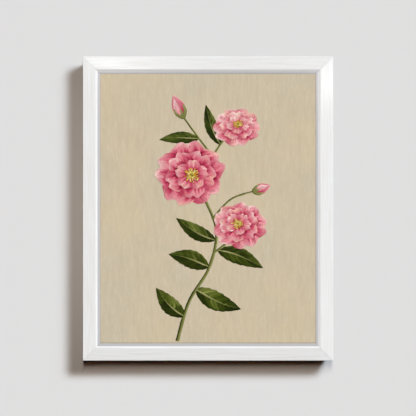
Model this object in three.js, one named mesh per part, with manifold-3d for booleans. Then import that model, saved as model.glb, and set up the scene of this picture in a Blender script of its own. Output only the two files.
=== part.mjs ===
// A canvas picture in a white stepped float frame, hung on a wall.
// Millimetres, +Z up. The picture faces -Y and the wall is the plane y = 0.
// The origin is the point where the wall nail bears, in the middle notch of the hanger.

import * as THREE from "three";
import { mergeVertices } from "three/addons/utils/BufferGeometryUtils.js";
import Module from "manifold-3d";

const wasm = await Module();
wasm.setup();

// Driving dimensions

const clearance = 0.25; // between pieces that lie against each other
const mitreGap = 0.2; // across each glued mitre of the frame
const wallGap = 3; // frame's back to the wall, the height of the wall pads
const notchBelowTop = 26; // hanger notch below the frame's top edge

const canvas = { width: 406.4, height: 508, depth: 20, cloth: 0.75, flap: 30 };

const rail = {
  face: 26.9, // outer edge to the wall of the well
  bevel: 2.9, // bright bevel at the face's inner edge
  step: 5.8, // lower step that shows as a band round the canvas
  undercut: 8, // the back's outer edge stands this far in from the face's
  undercutHeight: 24, // the side is upright from here to the face
  ledge: 15, // rear ledge that the canvas is screwed to
  shoulder: 28.5, // heights from the back of the frame
  crest: 29.5,
  bevelFoot: 28.75,
  stepHeight: 28.6,
  ledgeHeight: 8,
};

const bar = { width: 38, depth: 18, lip: 4, slope: 2 };
const key = { thickness: 3, length: 26, head: 9, tip: 5, offset: 1 };
const screw = { headRadius: 3.6, headDepth: 2.5, radius: 1.6, length: 20.5, pointLength: 4 };
const nail = { leg: 5, thickness: 0.75, height: 10, sink: 0.25, places: [15, 25] };
const staple = { crown: 12, wire: 0.75, width: 1.25, leg: 6.75, inset: 54 };
const pad = { radius: 5, crown: 4, inset: 20, fromSide: 31 };
const hanger = {
  width: 60, height: 11, thickness: 0.75, raise: 1.5, tab: 9, ramp: 2,
  toothPitch: 4, toothDepth: 2, teeth: 9, cornerRadius: 3,
};
const tack = { headRadius: 2.6, headThickness: 1.25, radius: 1.1, length: 10, fromCentre: 25.5 };

// Worked out from them

const stepClearance = 0.3; // the canvas's edge to the step
const border = rail.face + rail.step + stepClearance;
const railWidth = rail.face + rail.step + rail.ledge;
const outer = { x: canvas.width / 2 + border, z: canvas.height / 2 + border };
const centreZ = notchBelowTop - outer.z;
const canvasBack = wallGap + rail.ledgeHeight + clearance;
const canvasFront = canvasBack + canvas.depth;
const barInset = border + canvas.cloth + clearance; // frame's outer edge to a bar's outer edge
const barBack = canvasBack + canvas.cloth + clearance;
const barInner = barInset + bar.width;
const screwInset = rail.face + rail.step + rail.ledge / 2;

const finishes = {
  lacquer: { color: "#ebebe9", roughness: 0.3 },
  pine: { color: "#d8b98c", roughness: 0.7 },
  beech: { color: "#c9a274", roughness: 0.65 },
  cloth: { color: "#cbbd9f", roughness: 0.85 },
  zinc: { color: "#b9bbbe", roughness: 0.35, metalness: 1 },
  brass: { color: "#b9974f", roughness: 0.35, metalness: 1 },
  rubber: { color: "#6f7072", roughness: 0.6 },
  leafPaint: { color: "#465a1f", roughness: 0.55 },
  petalPaint: { color: "#eb94a6", roughness: 0.55 },
  heartPaint: { color: "#d9b544", roughness: 0.55 },
  budPaint: { color: "#d8607f", roughness: 0.55 },
};

// Helpers

function named(name, geometry, finish) {
  const mesh = new THREE.Mesh(geometry, new THREE.MeshStandardMaterial(finishes[finish]));
  mesh.name = name;
  return mesh;
}

function solidOf(geometry) {
  const bare = geometry.clone();
  bare.deleteAttribute("normal");
  bare.deleteAttribute("uv");
  const merged = mergeVertices(bare, 1e-4);
  return new wasm.Manifold(new wasm.Mesh({
    numProp: 3,
    vertProperties: new Float32Array(merged.attributes.position.array),
    triVerts: new Uint32Array(merged.index.array),
  }));
}

function geometryOf(solid) {
  const { vertProperties, triVerts } = solid.getMesh();
  const geometry = new THREE.BufferGeometry();
  geometry.setAttribute("position", new THREE.BufferAttribute(vertProperties, 3));
  geometry.setIndex(new THREE.BufferAttribute(triVerts, 1));
  geometry.computeVertexNormals();
  return geometry;
}

function cut(geometry, cutters) {
  return geometryOf(cutters.reduce((solid, cutter) => solid.subtract(solidOf(cutter)), solidOf(geometry)));
}

function join(geometries) {
  return geometryOf(geometries.map(solidOf).reduce((sum, solid) => sum.add(solid)));
}

function block(x, y, z) {
  // A box from three [low, high] pairs
  const size = [x, y, z].map(([low, high]) => high - low);
  const middle = [x, y, z].map(([low, high]) => (low + high) / 2);
  return new THREE.BoxGeometry(...size).translate(...middle);
}

function roundedShape(corners) {
  // Each corner is [x, y, radius]
  const shape = new THREE.Shape();
  corners.forEach(([x, y, radius], index) => {
    const before = corners[(index + corners.length - 1) % corners.length];
    const after = corners[(index + 1) % corners.length];
    const [start, end] = [before, after].map(([toX, toY]) => {
      const length = Math.hypot(toX - x, toY - y);
      return [x + ((toX - x) * radius) / length, y + ((toY - y) * radius) / length];
    });
    if (index === 0) shape.moveTo(...start);
    else shape.lineTo(...start);
    if (radius > 0) shape.quadraticCurveTo(x, y, ...end);
  });
  shape.closePath();
  return shape;
}

function prismFacing(shape, back, front, curveSegments = 6) {
  // A shape drawn in X and Z, with its back and front given as distances from the wall
  return new THREE.ExtrudeGeometry(shape, { depth: front - back, bevelEnabled: false, curveSegments })
    .rotateX(Math.PI / 2)
    .translate(0, -back, 0);
}

function mitredLength(profile, half, fromEdge, back, gap) {
  // The profile's x runs inwards from the frame's edge and its y towards the viewer. The length lies
  // along X with its ends on the mitre planes, so each end moves in by as much as a point lies inwards.
  const geometry = new THREE.ExtrudeGeometry(profile, { depth: 1, bevelEnabled: false, curveSegments: 4 });
  const position = geometry.attributes.position;
  for (let i = 0; i < position.count; i += 1) {
    const inwards = fromEdge + position.getX(i);
    const end = position.getZ(i) < 0.5 ? 1 : -1;
    const reach = half.x - inwards - (gap / 2) * Math.SQRT2;
    position.setXYZ(i, end * reach, -back - position.getY(i), half.z - inwards);
  }
  geometry.computeVertexNormals();
  return geometry;
}

// The four sides, each in a frame of its own: X along the side, +Z outwards. The keys of the long
// sides lie in another layer of the bars' depth than those of the short sides, so that they cross.

const [rearLayer, frontLayer] = [4.5, 10.5];
const shortSide = {
  half: { x: outer.x, z: outer.z }, screwAt: 112, stapleAt: 118, keyLayer: frontLayer, slotLayer: rearLayer,
};
const longSide = {
  half: { x: outer.z, z: outer.x }, screwAt: 150, stapleAt: 160, keyLayer: rearLayer, slotLayer: frontLayer,
};
const sides = [
  { name: "top", angle: 0, ...shortSide },
  { name: "right", angle: Math.PI / 2, ...longSide },
  { name: "bottom", angle: Math.PI, ...shortSide },
  { name: "left", angle: -Math.PI / 2, ...longSide },
];
const ends = [-1, 1];

// Frame rails

function railProfile() {
  const wellInner = rail.face + rail.step;
  return roundedShape([
    [rail.undercut, 0, 0.8],
    [railWidth, 0, 0.6],
    [railWidth, rail.ledgeHeight, 0.8],
    [wellInner, rail.ledgeHeight, 0],
    [wellInner, rail.stepHeight, 0.6],
    [rail.face, rail.stepHeight, 0],
    [rail.face, rail.bevelFoot, 0.1],
    [rail.face - rail.bevel, rail.crest, 0.9],
    [0, rail.shoulder, 0.8],
    [0, rail.undercutHeight, 0.4],
  ]);
}

function screwSolid(margin) {
  // A countersunk screw along +Y from its head's flat, or the hole for it, which opens at the back
  const start = margin > 0 ? -1 : 0;
  const points = [
    [0, start],
    [screw.headRadius + margin, start],
    ...(margin > 0 ? [[screw.headRadius + margin, 0]] : []),
    [screw.radius + margin, screw.headDepth],
    [screw.radius + margin, screw.length - screw.pointLength + margin],
    [0, screw.length + margin],
  ].map(([radius, along]) => new THREE.Vector2(radius, along));
  return new THREE.LatheGeometry(points, 16);
}

function driveCross() {
  // The cross recess in a screw's head
  const [long, short, deep] = [3.6, 0.9, 1.4];
  return [
    block([-long / 2, long / 2], [-1, deep], [-short / 2, short / 2]),
    block([-short / 2, short / 2], [-1, deep], [-long / 2, long / 2]),
  ];
}

function placeScrew(geometry, side, x) {
  // Turned so that it enters the ledge from the frame's back, towards the viewer
  return geometry.clone().rotateX(Math.PI).translate(x, -wallGap - clearance, side.half.z - screwInset);
}

function nailShape(margin) {
  // A V with its apex towards the outer corner and a leg in each rail
  const half = nail.thickness / 2 + margin;
  const leg = nail.leg + margin;
  const [c, apex] = [Math.SQRT1_2, half * Math.SQRT2];
  return new THREE.Shape([
    [(half - leg) * c, (half + leg) * c], [apex, 0], [(half - leg) * c, -(half + leg) * c],
    [-(half + leg) * c, (half - leg) * c], [-apex, 0], [-(half + leg) * c, (leg - half) * c],
  ].map(([x, y]) => new THREE.Vector2(x, y)));
}

function nailSolid(side, end, inset, margin) {
  // The V lies across the mitre at one end of a side
  const back = wallGap + (margin > 0 ? -1 : nail.sink);
  const front = wallGap + nail.sink + nail.height + margin;
  const towards = end > 0 ? Math.PI / 4 : (3 * Math.PI) / 4;
  return prismFacing(nailShape(margin), back, front)
    .rotateY(-towards)
    .translate(end * (side.half.x - inset), 0, side.half.z - inset);
}

function hangerTackHole(x) {
  return new THREE.CylinderGeometry(tack.radius + clearance, tack.radius + clearance, tack.length + 2, 12)
    .translate(x, -wallGap - tack.length / 2 + 1 - 0.5, hangerTackHeight);
}

const hangerTackHeight = hanger.height / 2 - hanger.toothDepth - centreZ; // in the top side's frame

function frameRail(side) {
  const cutters = ends.flatMap((end) => [
    placeScrew(screwSolid(clearance), side, end * side.screwAt),
    ...nail.places.map((inset) => nailSolid(side, end, inset, clearance)),
  ]);
  if (side.name === "top") cutters.push(...ends.map((end) => hangerTackHole(end * tack.fromCentre)));
  const plain = mitredLength(railProfile(), side.half, 0, wallGap, mitreGap);
  return named(`rail_${side.name}`, cut(plain, cutters), "lacquer");
}

function ledgeScrew(side, end) {
  const shaped = placeScrew(cut(screwSolid(0), driveCross()), side, end * side.screwAt);
  return named(`ledge_screw_${side.name}_${end < 0 ? "a" : "b"}`, shaped, "zinc");
}

function mitreNail(side, inset, index) {
  return named(`mitre_nail_${side.name}_${index + 1}`, nailSolid(side, 1, inset, 0), "zinc");
}

// Stretcher bars, their corner keys and the staples

function barProfile() {
  return roundedShape([
    [0, 0, 0.6],
    [bar.width, 0, 0.6],
    [bar.width, bar.depth - bar.slope, 0.6],
    [bar.lip, bar.depth, 0.4],
    [0, bar.depth, 0.8],
  ]);
}

function keySlot(side, end) {
  // The slot in this bar for the key that lies along the neighbouring bar
  const inner = { x: side.half.x - barInner, z: side.half.z - barInner };
  const layer = barBack + side.slotLayer;
  const [near, far] = [inner.x - key.offset + clearance, inner.x - key.offset - key.head - clearance];
  return block(
    [Math.min(end * near, end * far), Math.max(end * near, end * far)],
    [-layer - key.thickness - clearance, -layer + clearance],
    [inner.z - 1, inner.z + key.length / 2 + clearance],
  );
}

function cornerKey(side, end) {
  // A wedge along this bar's inner edge, with its tip in the neighbouring bar
  const inner = { x: side.half.x - barInner, z: side.half.z - barInner };
  const [head, tip] = [inner.x - key.length / 2, inner.x + key.length / 2];
  const edge = inner.z - key.offset;
  const shape = roundedShape([
    [end * head, edge, 1],
    [end * tip, edge, 1],
    [end * tip, edge - key.tip, 1],
    [end * head, edge - key.head, 1],
  ]);
  const back = barBack + side.keyLayer;
  return named(
    `corner_key_${side.name}_${end < 0 ? "a" : "b"}`,
    prismFacing(shape, back, back + key.thickness, 2),
    "beech",
  );
}

function stapleParts(side, x, margin) {
  // The crown lies on the cloth's turned edge and the two legs go through it into the bar
  const z = side.half.z - staple.inset;
  const crownFront = canvasBack - clearance;
  const crownBack = crownFront - staple.wire;
  const legEnd = crownFront + staple.leg + margin;
  const across = [z - staple.width / 2 - margin, z + staple.width / 2 + margin];
  const legs = ends.map((end) => {
    const middle = x + end * (staple.crown / 2 - staple.wire / 2);
    const halfLeg = staple.wire / 2 + margin;
    return block([middle - halfLeg, middle + halfLeg], [-legEnd, -crownBack], across);
  });
  const crown = block([x - staple.crown / 2, x + staple.crown / 2], [-crownFront, -crownBack], across);
  return margin > 0 ? legs : [crown, ...legs];
}

const staplePlaces = [-1, 0, 1];

function stretcherBar(side) {
  const cutters = [
    ...ends.map((end) => keySlot(side, end)),
    ...ends.map((end) => placeScrew(screwSolid(clearance), side, end * side.screwAt)),
    ...staplePlaces.flatMap((place) => stapleParts(side, place * side.stapleAt, clearance)),
  ];
  const plain = mitredLength(barProfile(), side.half, barInset, barBack, mitreGap);
  return named(`stretcher_bar_${side.name}`, cut(plain, cutters), "pine");
}

function clothStaple(side, place) {
  const geometry = join(stapleParts(side, place * side.stapleAt, 0));
  return named(`staple_${side.name}_${place + 2}`, geometry, "zinc");
}

// Canvas: the cloth over the bars, its sides and its edges turned over behind them

function canvasCloth() {
  const half = { x: canvas.width / 2, z: canvas.height / 2 };
  const within = (inset, back, front) => block(
    [-half.x + inset, half.x - inset], [-front, -back], [-half.z + inset, half.z - inset],
  );
  const outside = within(0, canvasBack, canvasFront);
  const hollow = within(canvas.cloth, canvasBack + canvas.cloth, canvasFront - canvas.cloth);
  const rearOpening = within(canvas.flap, canvasBack - 1, canvasBack + canvas.cloth + 1);
  const holes = sides.flatMap((side) => [
    ...ends.map((end) => placeScrew(screwSolid(clearance), side, end * side.screwAt)),
    ...staplePlaces.flatMap((place) => stapleParts(side, place * side.stapleAt, clearance)),
  ].map((hole) => hole.rotateY(side.angle)));
  return named("canvas", cut(outside, [hollow, rearOpening, ...holes]), "cloth");
}

// Hanger, its tacks and the wall pads

function sawtoothHanger() {
  // The bent strip, seen from above, crossed with its toothed outline, seen from behind
  const [half, back] = [hanger.width / 2, wallGap - clearance];
  const bend = half - hanger.tab;
  const near = [
    [-half, back], [-bend, back], [-bend + hanger.ramp, back - hanger.raise],
    [bend - hanger.ramp, back - hanger.raise], [bend, back], [half, back],
  ];
  const far = near.map(([x, y]) => [x, y - hanger.thickness]).reverse();
  const strip = new THREE.Shape([...near, ...far].map(([x, y]) => new THREE.Vector2(x, -y)));
  const bottom = -hanger.toothDepth;
  const top = bottom + hanger.height;
  const bent = new THREE.ExtrudeGeometry(strip, { depth: hanger.height + 2, bevelEnabled: false })
    .translate(0, 0, bottom - 1);
  const outline = roundedShape([
    [-half, bottom, hanger.cornerRadius], [half, bottom, hanger.cornerRadius],
    [half, top, hanger.cornerRadius], [-half, top, hanger.cornerRadius],
  ]);
  const blank = solidOf(bent).intersect(solidOf(prismFacing(outline, -1, wallGap + 1)));
  const halfPitch = hanger.toothPitch / 2;
  const notches = Array.from({ length: hanger.teeth }, (_, index) => {
    const x = (index - (hanger.teeth - 1) / 2) * hanger.toothPitch;
    const reach = 1.25; // the notch's sides run on past the strip's edge
    const notch = new THREE.Shape([
      new THREE.Vector2(x, 0),
      new THREE.Vector2(x - halfPitch * 0.8 * reach, bottom * reach),
      new THREE.Vector2(x + halfPitch * 0.8 * reach, bottom * reach),
    ]);
    return prismFacing(notch, -1, wallGap + 1);
  });
  const holes = ends.map((end) => new THREE.CylinderGeometry(
    tack.radius + clearance, tack.radius + clearance, 8, 12,
  ).translate(end * tack.fromCentre, -wallGap, hangerTackHeight + centreZ));
  const finished = [...notches, ...holes].reduce((solid, piece) => solid.subtract(solidOf(piece)), blank);
  return named("sawtooth_hanger", geometryOf(finished), "brass");
}

function hangerTack(end) {
  const back = wallGap - 2 * clearance - hanger.thickness - tack.headThickness;
  const shank = tack.headThickness + 2 * clearance + hanger.thickness + tack.length - 1;
  const points = [
    [0, 0], [tack.headRadius * 0.7, 0], [tack.headRadius, 0.45], [tack.headRadius, tack.headThickness],
    [tack.radius, tack.headThickness], [tack.radius, shank - 2], [0, shank],
  ].map(([radius, along]) => new THREE.Vector2(radius, along));
  const geometry = new THREE.LatheGeometry(points, 12)
    .rotateX(Math.PI)
    .translate(end * tack.fromCentre, -back, hangerTackHeight + centreZ);
  return named(`hanger_tack_${end < 0 ? "a" : "b"}`, geometry, "brass");
}

function wallPad(end) {
  const height = wallGap - clearance;
  const points = [
    [0, 0], [pad.crown, 0], [pad.radius, 1], [pad.radius, height], [0, height],
  ].map(([radius, along]) => new THREE.Vector2(radius, along));
  const mesh = named(`wall_pad_${end < 0 ? "a" : "b"}`, new THREE.LatheGeometry(points, 20), "rubber");
  mesh.rotation.x = Math.PI;
  mesh.position.set(end * (outer.x - pad.fromSide), 0, centreZ - outer.z + pad.inset);
  return mesh;
}

// Painted design: a generic spray of five-petalled blossoms, as low relief on the canvas

const relief = { leaf: 0.35, petal: 0.75, petalStep: 0.05, heartGap: 0.15, heart: 0.4 };

const stems = [
  { points: [[-58, -250], [-36, -176], [2, -112], [16, -44], [-4, 14], [-26, 58]], width: [6.5, 4.5] },
  { points: [[10, -84], [34, -66], [56, -40]], width: [4.5, 3.5] },
  { points: [[-12, 30], [-2, 72], [16, 110], [44, 148]], width: [4.5, 3.5] },
  { points: [[10, 98], [-18, 134], [-50, 178]], width: [4, 3] },
  { points: [[8, -20], [44, 18], [92, 34]], width: [4, 3] },
];

const leaves = [
  { base: [-44, -204], tip: [-98, -150], width: 34 },
  { base: [-24, -152], tip: [62, -190], width: 38 },
  { base: [2, -110], tip: [-74, -86], width: 36 },
  { base: [14, -60], tip: [-60, -18], width: 30 },
  { base: [18, -78], tip: [104, -112], width: 34 },
  { base: [24, 120], tip: [-4, 196], width: 26 },
  { base: [-17, 132], tip: [-92, 130], width: 24 },
];

const blossoms = [
  { name: "lower", centre: [60, -32], radius: 52, turn: 0.35, squash: 0.86 },
  { name: "middle", centre: [-34, 66], radius: 66, turn: -0.1, squash: 0.94 },
  { name: "upper", centre: [54, 154], radius: 46, turn: 0.6, squash: 0.8 },
];

const buds = [
  { name: "left", base: [-46, 172], tip: [-66, 214], width: 24 },
  { name: "right", base: [86, 32], tip: [118, 44], width: 20 },
];

function flatCurve(points) {
  return new THREE.SplineCurve(points.map(([x, z]) => new THREE.Vector2(x, z)));
}

function ribbon({ points, width }) {
  const curve = flatCurve(points);
  const steps = 4 * (points.length - 1);
  const edge = (sign) => Array.from({ length: steps + 1 }, (_, index) => {
    const t = index / steps;
    const half = THREE.MathUtils.lerp(...width, t) / 2;
    const tangent = curve.getTangent(t);
    return curve.getPoint(t).add(new THREE.Vector2(-tangent.y, tangent.x).multiplyScalar(sign * half));
  });
  return new THREE.Shape([...edge(1), ...edge(-1).reverse()]);
}

function bladeShape({ base, tip, width }, teeth, toothDepth) {
  // A pointed oval from base to tip, its edge cut into forward-leaning teeth
  const start = new THREE.Vector2(...base);
  const along = new THREE.Vector2(...tip).sub(start);
  const across = new THREE.Vector2(-along.y, along.x).normalize();
  const steps = Math.max(8, 2 * teeth);
  const edge = (sign) => Array.from({ length: steps - 1 }, (_, index) => {
    const t = (index + 1) / steps;
    const tooth = teeth > 0 && index % 2 === 1 ? 1 - toothDepth : 1;
    const half = (width / 2) * Math.sin(Math.PI * t ** 0.8) ** 0.85 * tooth;
    return start.clone().addScaledVector(along, t).addScaledVector(across, sign * half);
  });
  return new THREE.Shape([start, ...edge(1), start.clone().add(along), ...edge(-1).reverse()]);
}

function petalShape({ centre, radius, turn, squash }, index) {
  // A notched heart-shaped petal, squashed as the blossom leans away from the viewer
  const angle = turn + (index * 2 * Math.PI) / 5;
  const point = (side, out) => {
    const x = radius * (out * Math.sin(angle) + side * Math.cos(angle));
    const z = radius * (out * Math.cos(angle) - side * Math.sin(angle));
    return [centre[0] + x, centre[1] + z * squash];
  };
  const shape = new THREE.Shape();
  shape.moveTo(...point(-0.1, -0.04));
  shape.bezierCurveTo(...point(-0.35, 0.2), ...point(-0.62, 0.5), ...point(-0.5, 0.78));
  shape.bezierCurveTo(...point(-0.42, 0.98), ...point(-0.16, 1.04), ...point(0, 0.9));
  shape.bezierCurveTo(...point(0.16, 1.04), ...point(0.42, 0.98), ...point(0.5, 0.78));
  shape.bezierCurveTo(...point(0.62, 0.5), ...point(0.35, 0.2), ...point(0.1, -0.04));
  shape.closePath();
  return shape;
}

function heartShape({ centre, radius, squash }) {
  // The tuft of stamens in the middle of a blossom
  const rays = 18;
  const points = Array.from({ length: 2 * rays }, (_, index) => {
    const angle = (index * Math.PI) / rays;
    const reach = radius * (index % 2 === 0 ? 0.26 : 0.16);
    return new THREE.Vector2(
      centre[0] + reach * Math.sin(angle),
      centre[1] + reach * Math.cos(angle) * squash,
    );
  });
  return new THREE.Shape(points);
}

function onCanvas(shape, low, high, curveSegments = 4) {
  return prismFacing(shape, canvasFront + low, canvasFront + high, curveSegments);
}

function moved(from, away, by) {
  // The point that lies further out than from, seen from away
  const length = Math.hypot(from[0] - away[0], from[1] - away[1]);
  return from.map((value, axis) => value + ((value - away[axis]) / length) * by);
}

function enlargedStem({ points, width }, margin) {
  const inner = points.slice(1, -1);
  const [first, last] = [moved(points[0], points[1], margin), moved(points.at(-1), points.at(-2), margin)];
  return { points: [first, ...inner, last], width: width.map((value) => value + 2 * margin) };
}

function enlargedLeaf({ base, tip, width }, margin) {
  return { base: moved(base, tip, 4 * margin), tip: moved(tip, base, 4 * margin), width: width + 6 * margin };
}

function foliageGeometry(margin) {
  // Stems and leaves hold together as one piece; with a margin it is the room they take under a petal
  const low = margin > 0 ? -1 : 0;
  const high = relief.leaf + margin;
  const toothDepth = margin > 0 ? 0 : 0.12;
  return join([
    ...stems.map((stem) => onCanvas(ribbon(enlargedStem(stem, margin)), low, high)),
    ...leaves.map((leaf) => onCanvas(bladeShape(enlargedLeaf(leaf, margin), 7, toothDepth), low, high)),
  ]);
}

function blossomGeometry(blossom, foliageRoom) {
  const petals = Array.from({ length: 5 }, (_, index) => (
    onCanvas(petalShape(blossom, index), 0, relief.petal + index * relief.petalStep)
  ));
  return cut(join(petals), [foliageRoom]);
}

function paintedSpray() {
  const group = new THREE.Group();
  const foliageRoom = foliageGeometry(clearance);
  const heartLow = relief.petal + 4 * relief.petalStep + relief.heartGap;
  group.add(named("paint_foliage", foliageGeometry(0), "leafPaint"));
  blossoms.forEach((blossom) => {
    group.add(named(`paint_blossom_${blossom.name}`, blossomGeometry(blossom, foliageRoom), "petalPaint"));
    const heart = onCanvas(heartShape(blossom), heartLow, heartLow + relief.heart);
    group.add(named(`paint_stamens_${blossom.name}`, heart, "heartPaint"));
  });
  buds.forEach((bud) => {
    const geometry = cut(onCanvas(bladeShape(bud, 0, 0), 0, relief.petal), [foliageRoom]);
    group.add(named(`paint_bud_${bud.name}`, geometry, "budPaint"));
  });
  return group;
}

// Assembly

const picture = new THREE.Group();
picture.position.z = centreZ;
sides.forEach((side) => {
  const group = new THREE.Group();
  group.rotation.y = side.angle;
  group.add(frameRail(side), stretcherBar(side));
  ends.forEach((end) => group.add(ledgeScrew(side, end), cornerKey(side, end)));
  nail.places.forEach((inset, index) => group.add(mitreNail(side, inset, index)));
  staplePlaces.forEach((place) => group.add(clothStaple(side, place)));
  picture.add(group);
});
picture.add(canvasCloth(), paintedSpray());

const framedPicture = new THREE.Group();
framedPicture.add(picture, sawtoothHanger(), ...ends.map(hangerTack), ...ends.map(wallPad));

export default framedPicture;
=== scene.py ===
import math
import random

import bmesh
import bpy
from mathutils import Matrix, Vector, noise


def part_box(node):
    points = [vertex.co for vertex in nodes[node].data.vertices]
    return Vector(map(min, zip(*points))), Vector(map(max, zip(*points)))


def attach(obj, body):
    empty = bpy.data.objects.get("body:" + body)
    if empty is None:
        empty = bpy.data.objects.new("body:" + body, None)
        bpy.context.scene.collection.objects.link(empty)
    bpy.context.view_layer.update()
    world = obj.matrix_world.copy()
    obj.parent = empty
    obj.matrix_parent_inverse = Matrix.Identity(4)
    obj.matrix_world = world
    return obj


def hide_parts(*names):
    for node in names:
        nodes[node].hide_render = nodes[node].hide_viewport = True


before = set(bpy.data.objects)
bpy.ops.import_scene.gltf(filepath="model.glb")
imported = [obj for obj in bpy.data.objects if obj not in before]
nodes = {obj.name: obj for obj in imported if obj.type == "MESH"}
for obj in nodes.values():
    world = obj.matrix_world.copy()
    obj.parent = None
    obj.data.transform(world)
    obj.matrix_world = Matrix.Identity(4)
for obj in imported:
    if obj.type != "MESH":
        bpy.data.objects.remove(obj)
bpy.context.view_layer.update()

scene = bpy.context.scene
mm = 0.001


def linear(hexColour, alpha=1.0):
    channels = [int(hexColour[i:i + 2], 16) / 255 for i in (1, 3, 5)]
    return tuple(c / 12.92 if c <= 0.04045 else ((c + 0.055) / 1.055) ** 2.4 for c in channels) + (alpha,)


def clamped(value):
    return min(1.0, max(0.0, value))


def blendColours(a, b, share):
    return tuple(x + (y - x) * clamped(share) for x, y in zip(a, b))


def smooth(low, high, value):
    share = clamped((value - low) / (high - low))
    return share * share * (3 - 2 * share)


def putInScene(name, data):
    made = bpy.data.objects.new(name, data)
    scene.collection.objects.link(made)
    return made


# places in the frame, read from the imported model
railLow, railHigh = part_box("rail_top")
clothLow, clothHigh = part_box("canvas")
outerWidth = railHigh.x - railLow.x
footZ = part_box("rail_bottom")[0].z
outerHeight = railHigh.z - footZ
centreZ = (clothLow.z + clothHigh.z) / 2
clothHalf = (clothHigh - clothLow) / 2
clothFront = clothLow.y

# camera: straight on, so far away that the frame's outside spans as many pixels as in the photo
camera = {
    "lens": 300,
    "sensor": 36,
    "imagePixels": 416,
    "framePixels": 250.1,
    "frameCentre": (207.95, 208.6),
    "arrisDepth": 0.0314,  # where the rails are widest
}


def makeCamera():
    pixel = outerWidth / camera["framePixels"]
    data = bpy.data.cameras.new("camera")
    data.lens = camera["lens"]
    data.sensor_width = camera["sensor"]
    distance = camera["imagePixels"] * pixel * camera["lens"] / camera["sensor"]
    middle = camera["imagePixels"] / 2
    centreX, centreY = camera["frameCentre"]
    made = putInScene("camera", data)
    made.location = (
        (middle - centreX) * pixel,
        -camera["arrisDepth"] - distance,
        centreZ + (centreY - middle) * pixel,
    )
    made.rotation_euler = (math.radians(90), 0, 0)
    scene.camera = made
    print("camera", round(distance, 3), "m away")


# node helpers


def fillSockets(tree, node, values):
    for key, value in values.items():
        if isinstance(value, bpy.types.NodeSocket):
            tree.links.new(value, node.inputs[key])
        else:
            node.inputs[key].default_value = value
    return node


def addNode(tree, kind, values=None, **settings):
    node = tree.nodes.new("ShaderNode" + kind)
    for key, value in settings.items():
        setattr(node, key, value)
    return fillSockets(tree, node, values or {})


def maths(tree, operation, a, b=0.0):
    return addNode(tree, "Math", {0: a, 1: b}, operation=operation).outputs[0]


def times(tree, product, *factors):
    for factor in factors:
        product = maths(tree, "MULTIPLY", product, factor)
    return product


def vectorMaths(tree, operation, a, b, output="Vector"):
    return addNode(tree, "VectorMath", {0: a, 1: b}, operation=operation).outputs[output]


def axes(tree, vector):
    return addNode(tree, "SeparateXYZ", {"Vector": vector}).outputs


def faceNormal(tree):
    return addNode(tree, "NewGeometry").outputs["Normal"]


def grey(tree, tone):
    return addNode(tree, "CombineXYZ", {0: tone, 1: tone, 2: tone}).outputs[0]


def mixed(tree, share, a, b, blend="MIX"):
    node = addNode(tree, "Mix", {"Factor": share}, data_type="RGBA", blend_type=blend)
    colours = [index for index, socket in enumerate(node.inputs) if socket.type == "RGBA"]
    ends = [linear(end) if isinstance(end, str) else end for end in (a, b)]
    fillSockets(tree, node, dict(zip(colours, ends)))
    return next(socket for socket in node.outputs if socket.type == "RGBA")


def ranged(tree, value, low, high, toLow=0.0, toHigh=1.0):
    values = {"Value": value, "From Min": low, "From Max": high, "To Min": toLow, "To Max": toHigh}
    return addNode(tree, "MapRange", values).outputs["Result"]


def noiseAt(tree, vector, scale, detail=3.0, roughness=0.5):
    values = {"Vector": vector, "Scale": scale, "Detail": detail, "Roughness": roughness}
    return addNode(tree, "TexNoise", values).outputs["Fac"]


def makeGroup(name, build, outputs, *numbers):
    # every group takes a vector and then the numbers that are named
    tree = bpy.data.node_groups.new(name, "ShaderNodeTree")
    sockets = [("Vector", "INPUT", "Vector")]
    sockets += [(number, "INPUT", "Float") for number in numbers]
    sockets += [(output, "OUTPUT", "Float") for output in outputs]
    for socketName, way, kind in sockets:
        tree.interface.new_socket(name=socketName, in_out=way, socket_type="NodeSocket" + kind)
    given = tree.nodes.new("NodeGroupInput")
    fillSockets(tree, tree.nodes.new("NodeGroupOutput"), build(tree, given.outputs))
    return tree


def useGroup(tree, group, *values):
    # the values come in the order of its sockets
    return addNode(tree, "Group", dict(enumerate(values)), node_tree=group).outputs


# effects that more than one material uses


def buildAlongGrain(tree, given):
    # long fine lines that run along local X, for wood and for what is brushed over it
    bent = noiseAt(tree, given["Vector"], 9.0, 2.0)
    offset = times(tree, maths(tree, "SUBTRACT", bent, 0.5), given["Waver"])
    shift = addNode(tree, "CombineXYZ", {"Y": offset, "Z": offset}).outputs[0]
    place = vectorMaths(tree, "ADD", vectorMaths(tree, "MULTIPLY", given["Vector"], (0.02, 1.0, 1.0)), shift)
    fine = noiseAt(tree, place, given["Lines"], 3.0, 0.6)
    broad = noiseAt(tree, place, times(tree, given["Lines"], 0.16), 2.0)
    return {"Fine": fine, "Broad": broad}


def buildWeave(tree, given):
    # plain weave: threads along X and Z pass over and under each other
    parts = axes(tree, given["Vector"])
    rate = times(tree, given["Threads"], math.pi)
    turnX, turnZ = (times(tree, parts[axis], rate) for axis in ("X", "Z"))
    acrossX, acrossZ = (maths(tree, "ABSOLUTE", maths(tree, "SINE", turn)) for turn in (turnX, turnZ))
    sign = times(tree, maths(tree, "COSINE", turnX), maths(tree, "COSINE", turnZ))
    over = ranged(tree, sign, -0.25, 0.25)
    warp = times(tree, acrossX, over)
    weft = times(tree, acrossZ, maths(tree, "SUBTRACT", 1.0, over))
    slub = noiseAt(tree, given["Vector"], given["Slubs"], 2.0)
    height = times(tree, maths(tree, "ADD", warp, weft), ranged(tree, slub, 0.2, 0.8, 0.75, 1.15))
    return {"Height": height, "Slub": slub}


def buildDust(tree, given):
    # what settles on faces that look up
    up = axes(tree, faceNormal(tree))["Z"]
    patchy = noiseAt(tree, given["Vector"], 55.0, 4.0, 0.6)
    return {"Mask": times(tree, ranged(tree, up, 0.6, 0.95), patchy, given["Amount"])}


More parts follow.
